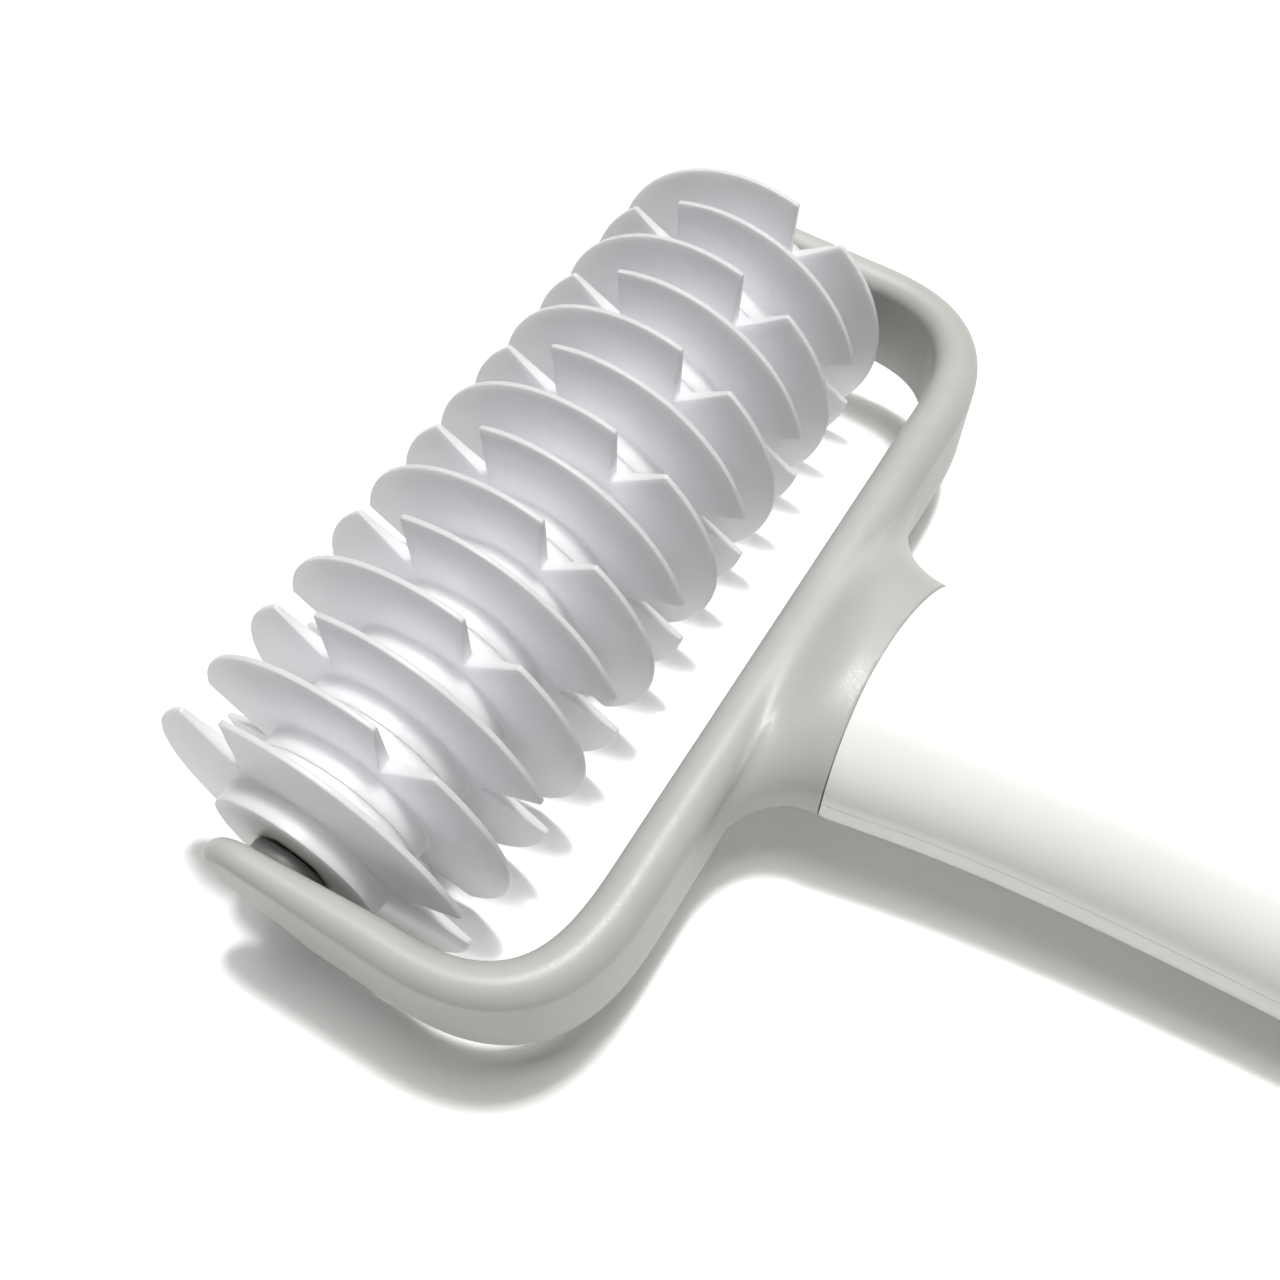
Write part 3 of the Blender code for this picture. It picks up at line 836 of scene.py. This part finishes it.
# Handle
@dataclass
class Handle:
    """The handle's two thin-walled shells, parted at the roller axis's height, with pegs and sockets."""

    seam: Seam = Seam()
    length: float = 134.4
    grip_half_width: float = 10.7
    grip_half_height: float = 10.6
    taper: float = 27.0
    swell: float = 1.6
    swell_reach: float = 22.0
    end_rounding: float = 13.0
    front_land: float = 1.0
    wall: float = 2.2
    edge: float = 0.02
    guard: float = 0.05
    pegs: tuple[float, float] = (30.0, 82.0)
    peg_radius: float = 2.0
    collar_radius: float = 4.2
    tang_face: float = 4.3
    socket_floor: float = 0.6
    clearance: float = 0.3
    peg_edge: float = 0.4
    peg_columns: int = 40
    columns: int = 72
    rows: int = 150
    cap_rows: int = 24
    pole_angles: tuple[float, float, float] = (89.3, 89.8, 90.0)

    def size(self, distance: np.ndarray) -> tuple[np.ndarray, np.ndarray]:
        """Return the half width and half height at distances behind the seam.

        Both fall exponentially from the neck's to the grip's, and a bell curve adds the swell near the end.

        Args:
            distance: Distances behind the seam.

        Returns:
            Half widths and half heights.
        """
        fade = np.exp(-np.maximum(distance - self.front_land, 0.0) / self.taper)
        bell = self.swell * np.exp(-(((distance - self.length + self.swell_reach) / self.swell_reach) ** 2))
        width = self.grip_half_width + (self.seam.half_width - self.grip_half_width) * fade + bell
        height = self.grip_half_height + (self.seam.half_height - self.grip_half_height) * fade + bell / 2
        return width, height

    def shell(self, half: Half) -> Surface:
        """Return one shell: rings of outer arc, parting edges and inner arc, from the seam to the pole.

        The outer arc is x = w cos^(2/n) a, z = land + (h - land) sin^(2/n) a, and the inner one the same, a
        wall further in. Toward the end both shrink along a quarter circle. The parting edges and the front
        edge are rounded with quarter circles, each with a narrow guard row that keeps its shading off the
        wall. The last rows crowd round the pole for the same reason.

        Args:
            half: Which shell.

        Returns:
            The closed surface.
        """
        seam = self.seam
        land = seam.upper_land if half is Half.UPPER else seam.lower_land
        turn = np.radians([90, 60, 30])
        round_start = self.length - self.end_rounding
        front = HALF_GAP + self.edge * (1 - np.sin(turn))
        straight = round_start - HALF_GAP - self.edge
        even = HALF_GAP + self.edge + np.append(0, np.linspace(self.guard, straight, self.rows))
        cap = np.radians(np.append(np.linspace(0, 88, self.cap_rows)[1:], self.pole_angles))
        base = np.concatenate([front, even, np.full_like(cap, round_start)])
        inset = np.concatenate([self.edge * (1 - np.cos(turn)), np.zeros(len(even) + len(cap))])
        rise = np.concatenate([np.zeros(len(front) + len(even)), np.sin(cap)])
        factor = np.concatenate([np.ones(len(front) + len(even)), np.cos(cap)])
        shown = base + rise * self.end_rounding
        width, height = self.size(shown)
        angle = np.linspace(0, math.pi, self.columns)
        cos = np.sign(np.cos(angle)) * np.abs(np.cos(angle)) ** (2 / seam.fullness)
        sin = np.clip(np.sin(angle), 0.0, 1.0) ** (2 / seam.fullness)
        fade = 1 - smooth_step(shown / (self.end_rounding / 2))

        def arc(inward: np.ndarray, along: np.ndarray) -> np.ndarray:
            """Return the points of an arc inside the outer one.

            Args:
                inward: How far inside it lies, for each row.
                along: How far behind the seam it lies, for each row.

            Returns:
                The points as (rows, columns, 3).
            """
            w, h = (width - inward)[:, None], (height - inward)[:, None]
            x, z = w * cos, land + (h - land) * sin
            y = (seam.place + along)[:, None] - fade[:, None] * seam.back(x / width[:, None])
            return np.stack([x * factor[:, None], y, HALF_GAP + z * factor[:, None]], axis=-1)

        outer = arc(inset, shown)
        inner = arc(self.wall - inset, base + rise * (self.end_rounding - self.wall))
        bend = np.radians([0, 0, 30, 60, 90])
        steps = len(bend)
        drop = np.minimum(self.edge, land / 2)
        guard = np.array([self.guard, 0, 0, 0, 0])

        def edge_of(arc_end: np.ndarray, sign: float) -> np.ndarray:
            """Return the rounded parting edge below one end of the outer arc.

            Args:
                arc_end: The arc's end points, one for each row.
                sign: The side that the end lies on.

            Returns:
                The points as (rows, steps, 3).
            """
            x = arc_end[:, None, 0] - sign * drop * (1 - np.cos(bend)) * factor[:, None]
            z = HALF_GAP + (drop * (1 - np.sin(bend)) + guard) * factor[:, None]
            return np.stack([x, np.repeat(arc_end[:, None, 1], steps, axis=1), z], axis=-1)

        right = edge_of(outer[:, 0], 1.0)[:, ::-1]
        left = edge_of(outer[:, -1], -1.0)
        inner_low = inner.copy()[:, ::-1]
        foot_left, foot_right = inner_low[:, :1].copy(), inner_low[:, -1:].copy()
        foot_left[..., 2] = foot_right[..., 2] = HALF_GAP
        ring = np.concatenate([right, outer, left, foot_left, inner_low, foot_right], axis=1)
        ring[..., 2] *= half.value
        columns = ring.shape[1]
        surface = Surface.from_grid(ring, False, True)
        first = np.arange(self.columns + 2 * steps)
        last = columns - 2 - self.columns
        inside = np.arange(columns - 2, last, -1)
        matched = np.concatenate([[columns - 1] * steps, inside, [last] * steps])
        cap_faces = np.stack([first[:-1], matched[:-1], matched[1:], first[1:]], axis=-1)
        if half is Half.LOWER:
            cap_faces = cap_faces[:, ::-1]
        return Surface(surface.points, np.vstack([surface.faces, cap_faces]))

    def fixings(self, half: Half) -> Surface:
        """Return the pegs with their collars (upper shell) or the sockets (lower shell).

        Args:
            half: Which shell.

        Returns:
            Both turned forms, their roots inside the wall.
        """
        parts = []
        for place in self.pegs:
            height = float(self.size(np.array([place]))[1][0])
            floor, root = height - self.wall - self.socket_floor, height - self.wall / 2
            if half is Half.UPPER:
                end = self.clearance - floor
                profile = [(0, root), (self.collar_radius, root), (self.collar_radius, self.tang_face)]
                profile += [(self.peg_radius, self.tang_face), (self.peg_radius, end + self.peg_edge)]
                profile += [(self.peg_radius - self.peg_edge, end), (0, end)]
            else:
                bore = self.peg_radius + self.clearance
                profile = [(0, -floor), (bore, -floor), (bore, -self.tang_face)]
                profile += [(self.collar_radius, -self.tang_face), (self.collar_radius, -root), (0, -root)]
            part = lathe(profile, self.peg_columns, False)
            parts.append(Surface(part.points + (0.0, self.seam.place + place, 0.0), part.faces))
        return parts[0] + parts[1]

    def build(self, shop: Workshop) -> list[bpy.types.Object]:
        """Build both shells.

        Args:
            shop: The workshop.

        Returns:
            Their pieces.
        """
        made = []
        for half in Half:
            surface = self.shell(half) + self.fixings(half)
            side = half.name.lower()
            name, node = f"handle_{side}_half", f"handle_{side}_shell"
            made.append(shop.piece(name, surface, HANDLE_ABS, Body.FRAME, node))
        return made


# Roller
@dataclass
class CuttingRoller:
    """Fourteen notched discs on a hexagonal core, with a bush in each end of it."""

    count: int = 14
    pitch: float = 8.0
    radius: float = 22.5
    rim_half: float = 0.35
    root_half: float = 1.1
    hub_radius: float = 11.5
    fillet: float = 0.45
    guard: float = 0.05
    notches: int = 3
    notch_width: float = 8.2
    notch_depth: float = 9.1
    notch_angle: float = 0.9
    notch_span: tuple[float, float] = (0.06, 0.93)
    lip_reach: float = 0.3
    apex_reach: float = 0.45
    web_shares: tuple[float, ...] = (0.2, 0.45, 0.7, 0.9, 1.0)
    rim_edge: float = 0.14
    hub_edge: float = 0.08
    bore_edge: float = 0.2
    bore_corner: float = 5.081
    hexagon_angle: float = -21.26
    bush_bore: float = 2.1
    bush_radius: float = 3.0
    bush_length: float = 12.0
    bush_edge: float = 0.15
    bush_columns: int = 96

    def outline(self) -> np.ndarray:
        """Return a disc's outline in its plane: rim arcs between V notches with rounded corners.

        Returns:
            The outline's points, anticlockwise.
        """
        half = math.asin(self.notch_width / 2 / self.radius)
        third = 2 * math.pi / self.notches
        # Angles from a notch's lip to the rim points that aim its rounding and that follow it
        beside, clear = 0.02, 0.03
        corner_steps, side_steps, rim_steps = 5, 12, 42
        share = np.linspace(*self.notch_span, side_steps)[:, None]

        def polar(radius: float, angle: np.ndarray | float) -> np.ndarray:
            """Return plane points at a radius and angle."""
            return np.stack([radius * np.cos(angle), radius * np.sin(angle)], axis=-1)

        parts = []
        for k in range(self.notches):
            base = k * third
            start, end = polar(self.radius, base - half), polar(self.radius, base + half)
            apex = polar(self.radius - self.notch_depth, base)
            before, after = polar(self.radius, base - half - beside), polar(self.radius, base + half + beside)
            parts.append(corner_arc(start, before, apex, self.lip_reach, corner_steps))
            parts.append(start + share * (apex - start))
            parts.append(corner_arc(apex, start, end, self.apex_reach, corner_steps))
            parts.append(apex + (1 - share[::-1]) * (end - apex))
            parts.append(corner_arc(end, apex, after, self.lip_reach, corner_steps))
            rim = np.linspace(base + half + clear, base + third - half - clear, rim_steps)
            parts.append(polar(self.radius, rim))
        return np.vstack(parts)

    def disc(self) -> np.ndarray:
        """Return a disc's grid of points, rows from the bore outwards on one side and back on the other.

        Each column keeps the polar angle of its outline point. A web row lies between the hub's fillet and
        the outline, at a height that falls evenly with the radius. The rim's two edges are quarter circles,
        set in from the outline along its inward normal. A narrow guard row on each side of a rounding keeps
        its shading off the flats.

        Returns:
            Points as (rows, columns, 3): along the roller, then the plane's two directions.
        """
        outline = self.outline()
        tangent = np.roll(outline, -1, axis=0) - np.roll(outline, 1, axis=0)
        tangent /= np.linalg.norm(tangent, axis=1, keepdims=True)
        inward = np.stack([-tangent[:, 1], tangent[:, 0]], axis=-1)
        angle = np.arctan2(outline[:, 1], outline[:, 0])
        ray = np.stack([np.cos(angle), np.sin(angle)], axis=-1)
        root = self.hub_radius + self.fillet
        top = (self.pitch - 2 * HALF_GAP) / 2

        def thickness(points: np.ndarray) -> np.ndarray:
            """Return the web's half thickness at plane points."""
            share = (np.linalg.norm(points, axis=1) - root) / (self.radius - root)
            return self.root_half + (self.rim_half - self.root_half) * share

        sixth = math.pi / 3
        turned = (angle - math.radians(self.hexagon_angle - self.notch_angle)) % sixth - sixth / 2
        bore = (self.bore_corner * math.cos(math.pi / 6) / np.cos(turned))[:, None]
        rows = [(bore * ray, top - self.bore_edge), ((bore + self.bore_edge) * ray, top)]
        rows.append(((bore + self.bore_edge + self.guard) * ray, top))
        rows.append(((self.hub_radius - self.hub_edge - self.guard) * ray, top))
        for bend in np.radians([0, 30, 60, 90]):
            out = self.hub_radius - self.hub_edge * (1 - math.sin(bend))
            rows.append((out * ray, top - self.hub_edge * (1 - math.cos(bend))))
        rows.append((self.hub_radius * ray, top - self.hub_edge - self.guard))
        rows.append((self.hub_radius * ray, self.root_half + self.fillet + self.guard))
        for bend in np.radians([0, 18, 36, 54, 72, 90]):
            out = root - self.fillet * math.cos(bend)
            rows.append((out * ray, self.root_half + self.fillet * (1 - math.sin(bend))))
        rows.append(((root + self.guard) * ray, thickness((root + self.guard) * ray)))
        face = outline + (self.rim_edge + self.guard) * inward
        rim_row = outline + self.rim_edge * inward
        for share in self.web_shares:
            points = root * ray * (1 - share) + face * share
            rows.append((points, thickness(points)))
        rows.append((rim_row, thickness(rim_row)))
        rim = thickness(outline)
        for bend in np.radians([30, 60, 90]):
            points = outline + self.rim_edge * (1 - math.sin(bend)) * inward
            rows.append((points, rim - self.rim_edge * (1 - math.cos(bend))))
        upper = np.stack([np.column_stack([np.broadcast_to(h, len(p)), p]) for p, h in rows])
        lower = upper[::-1] * np.array([-1.0, 1.0, 1.0])
        return np.concatenate([upper, lower])

    def disc_surface(self, number: int, grid: np.ndarray) -> Surface:
        """Return one disc in its place; every second one is turned half a step further.

        Args:
            number: Its number, counted from 0 at the near end.
            grid: The disc's points at the origin.

        Returns:
            The disc's surface.
        """
        turn = math.radians(self.notch_angle) + (number % 2) * math.pi / self.notches
        c, s = math.cos(turn), math.sin(turn)
        x, y, z = np.moveaxis(grid, -1, 0)
        place = ((self.count - 1) / 2 - number) * self.pitch
        return Surface.from_grid(np.stack([x + place, c * y - s * z, s * y + c * z], axis=-1), True, True)

    def bush_surface(self, end: End) -> Surface:
        """Return a bush: a tube in the core's end, its edges bevelled.

        Args:
            end: Which end of the core.

        Returns:
            The closed surface.
        """
        face = self.count * self.pitch / 2 - HALF_GAP
        back, edge = face - self.bush_length, self.bush_edge
        inner, outer = self.bush_bore, self.bush_radius
        profile = [(inner, face - edge), (inner + edge, face), (outer - edge, face), (outer, face - edge)]
        profile += [(outer, back + edge), (outer - edge, back), (inner + edge, back), (inner, back + edge)]
        turned = lathe(profile, self.bush_columns, True)
        x, y, z = turned.points.T
        return Surface(np.stack([end.value * z, y, x], axis=-1), turned.faces).outward()

    def build(self, shop: Workshop) -> None:
        """Build the discs and bushes, and dress the core.

        Args:
            shop: The workshop.
        """
        grid = self.disc()
        for number in range(self.count):
            name, surface = f"disc_{number + 1:02d}", self.disc_surface(number, grid)
            finish, slot = DISC_POLYPROPYLENE, "white_polypropylene"
            shop.piece(name, surface, finish, Body.ROLLER, f"cutter_{name}")
        for end in End:
            name, surface = f"bush_{end.name.lower()}", self.bush_surface(end)
            shop.piece(name, surface, BUSH_ACETAL, Body.ROLLER, f"pivot_{name}")
        shop.dress("roller_core", CORE_NYLON)


# Studio
@dataclass(frozen=True)
class SoftLamp:
    """A square lamp that faces the roller's middle.

    Its direction from there is in degrees, its distance and side are in metres, its power in watts.
    """

    name: str
    azimuth: float
    elevation: float
    distance: float
    side: float
    power: float
    colour: str = "FFFFFF"

    def build(self, centre: tuple[float, float, float]) -> None:
        """Add the lamp.

        Args:
            centre: The roller's middle, in metres.
        """
        light = bpy.data.lights.new(self.name, "AREA")
        light.shape = "SQUARE"
        light.size = self.side
        light.energy = self.power
        light.color = linear_colour(self.colour)[:3]
        item = bpy.data.objects.new(self.name, light)
        turn = Matrix.Rotation(math.radians(self.azimuth), 4, "Z")
        tilt = Matrix.Rotation(math.radians(90 - self.elevation), 4, "X")
        away = Matrix.Translation((0, 0, self.distance))
        item.matrix_world = Matrix.Translation(centre) @ turn @ tilt @ away
        bpy.context.scene.collection.objects.link(item)


@dataclass
class Studio:
    """Camera, lamps, world and white floor."""

    lamps: tuple[SoftLamp, ...] = (
        SoftLamp("key_lamp", 228.4, 79.9, 0.84, 0.075, 4.2),
        SoftLamp("softbox", 228.4, 82.0, 1.2, 0.5, 6.2),
    )
    world_strength: float = 0.08
    world_colour: str = "FFFDFA"
    floor_size: float = 6.0
    floor_colour: str = "F4F4F2"
    floor_shown: float = 1.45
    floor_fade: tuple[float, float] = (0.22, 0.5)
    image_side: float = 1280.0
    focal_pixels: float = 1363.992
    centre: tuple[float, float] = (638.466, 556.968)
    place: tuple[float, float, float] = (85.49203, 66.22397, 151.87128)
    right: tuple[float, float, float] = (-0.526781, 0.849997, -0.002555)
    down: tuple[float, float, float] = (0.704318, 0.434811, -0.561138)
    forward: tuple[float, float, float] = (-0.475855, -0.297396, -0.827718)

    def camera(self, axes: ToolAxes) -> None:
        """Add the camera where the photograph was taken from, given in the tool's axes.

        Args:
            axes: The tool's resting pose.
        """
        data = bpy.data.cameras.new("camera")
        data.sensor_width = 36.0
        data.lens = self.focal_pixels / self.image_side * data.sensor_width
        data.shift_x = (self.image_side / 2 - self.centre[0]) / self.image_side
        data.shift_y = (self.centre[1] - self.image_side / 2) / self.image_side
        data.clip_start, data.clip_end = 0.01, 50.0
        item = bpy.data.objects.new("camera", data)
        turn = np.eye(4)
        turn[:3, 0], turn[:3, 1], turn[:3, 2] = self.right, -np.array(self.down), -np.array(self.forward)
        turn[:3, 3] = np.array(self.place) * MM
        item.matrix_world = axes.matrix() @ Matrix(turn.tolist())
        bpy.context.scene.collection.objects.link(item)
        bpy.context.scene.camera = item

    def floor(self) -> None:
        """Add the floor: white paper that the camera and reflections see brighter than the object does.

        Toward the horizon they see it turn into the plain white of the room.
        """
        side = self.floor_size / 2
        mesh = bpy.data.meshes.new("floor")
        corners = [(-side, -side, 0.0), (side, -side, 0.0), (side, side, 0.0), (-side, side, 0.0)]
        mesh.from_pydata(corners, [], [(0, 1, 2, 3)])
        item = bpy.data.objects.new("floor", mesh)
        bpy.context.scene.collection.objects.link(item)
        material = bpy.data.materials.new("matt_white_paper")
        material.use_nodes = True
        material.node_tree.nodes.clear()
        seen = self.seen(material)
        plain = linear_colour(self.floor_colour)
        shown = tuple(v * self.floor_shown for v in plain[:3]) + (1.0,)
        tones = {0: seen, 6: plain, 7: shown}
        tone = add_node(material, "ShaderNodeMix", tones, data_type="RGBA").outputs[2]
        paper = add_node(material, "ShaderNodeBsdfDiffuse", {"Color": tone}).outputs[0]
        place = add_node(material, "ShaderNodeTexCoord", {}).outputs["Object"]
        length = add_node(material, "ShaderNodeVectorMath", {0: place}, operation="LENGTH").outputs["Value"]
        start, end = self.floor_fade
        ends = {"Value": length, "From Min": start, "From Max": end}
        far = add_node(material, "ShaderNodeMapRange", ends).outputs["Result"]
        share = add_node(material, "ShaderNodeMath", {0: seen, 1: far}, operation="MULTIPLY").outputs[0]
        white = linear_colour(self.world_colour)
        room = add_node(material, "ShaderNodeEmission", {"Color": white}).outputs[0]
        surface = add_node(material, "ShaderNodeMixShader", {0: share, 1: paper, 2: room}).outputs[0]
        add_node(material, "ShaderNodeOutputMaterial", {"Surface": surface})
        mesh.materials.append(material)

    def seen(self, owner: bpy.types.ID) -> Socket:
        """Return 1 for rays from the camera and for reflected or transmitted ones.

        Args:
            owner: The material or world.

        Returns:
            The output that gives it.
        """
        path = add_node(owner, "ShaderNodeLightPath", {})
        rays = path.outputs["Is Camera Ray"]
        for name in ("Is Glossy Ray", "Is Transmission Ray"):
            either = {0: rays, 1: path.outputs[name]}
            rays = add_node(owner, "ShaderNodeMath", either, operation="MAXIMUM").outputs[0]
        return rays

    def world(self) -> None:
        """Light the scene evenly from all sides; the camera and reflections see plain white."""
        world = bpy.data.worlds.new("white_room")
        world.use_nodes = True
        world.node_tree.nodes.clear()
        levels = {0: self.seen(world), 2: self.world_strength, 3: 1.0}
        strength = add_node(world, "ShaderNodeMix", levels, data_type="FLOAT").outputs[0]
        tint = linear_colour(self.world_colour)
        light = add_node(world, "ShaderNodeBackground", {"Color": tint, "Strength": strength}).outputs[0]
        add_node(world, "ShaderNodeOutputWorld", {"Surface": light})
        bpy.context.scene.world = world

    def build(self, axes: ToolAxes) -> None:
        """Build the whole studio.

        Args:
            axes: The tool's resting pose.
        """
        self.camera(axes)
        self.floor()
        self.world()
        for lamp in self.lamps:
            lamp.build(axes.origin)
        bpy.context.scene.view_settings.view_transform = "Standard"


def main() -> None:
    """Build the pieces in order, then the studio round them."""
    logging.basicConfig(level=logging.INFO, format="%(name)s: %(message)s")
    axes = ToolAxes.from_record(FRAME["record"])
    shop = Workshop(axes)
    FrameMoulding().build(shop)
    Handle().build(shop)
    CuttingRoller().build(shop)
    Studio().build(axes)


if __name__ == "__main__":
    main()
